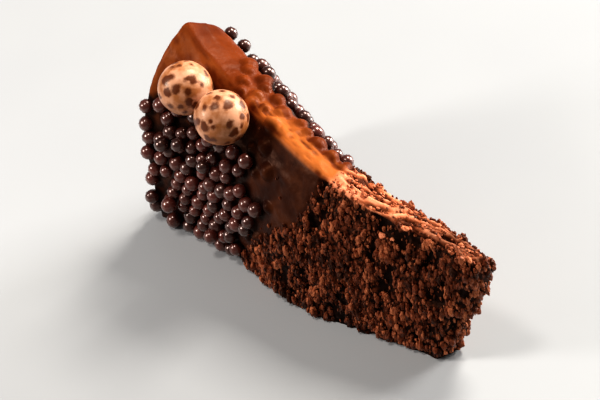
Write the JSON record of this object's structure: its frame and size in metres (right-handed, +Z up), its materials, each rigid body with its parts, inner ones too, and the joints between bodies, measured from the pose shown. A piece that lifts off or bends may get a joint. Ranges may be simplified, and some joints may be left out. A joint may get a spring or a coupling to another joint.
{
  "type": "slice of blackout cake",
  "caption": "Slim wedge of dark chocolate cake with a leaning ridge and raised peak, a crumb-coated tip, small crisp pearls on its sides and speckled malt balls on its shoulder.",
  "frame": {"origin": "middle of the slice's footprint, on the surface it stands on", "axes": "+Z up; +Y from the narrow tip to the broad back; +X to the right as seen from the tip"},
  "size_m": [0.0503, 0.1082, 0.0551],
  "materials": {
    "chocolate_cake": "smooth dark chocolate icing with a soft gloss",
    "crumb_coat": "coarse dark chocolate cake crumbs, slightly moist",
    "crisp_pearl": "glossy dark chocolate shell on small crisp pearls",
    "malt_shell": "satin pale caramel shell with dark brown specks"
  },
  "bodies": {
    "root": {"cake_slice": "chocolate_cake", "malt_ball_back": "malt_shell", "malt_ball_front": "malt_shell"}
  },
  "joints": []
}
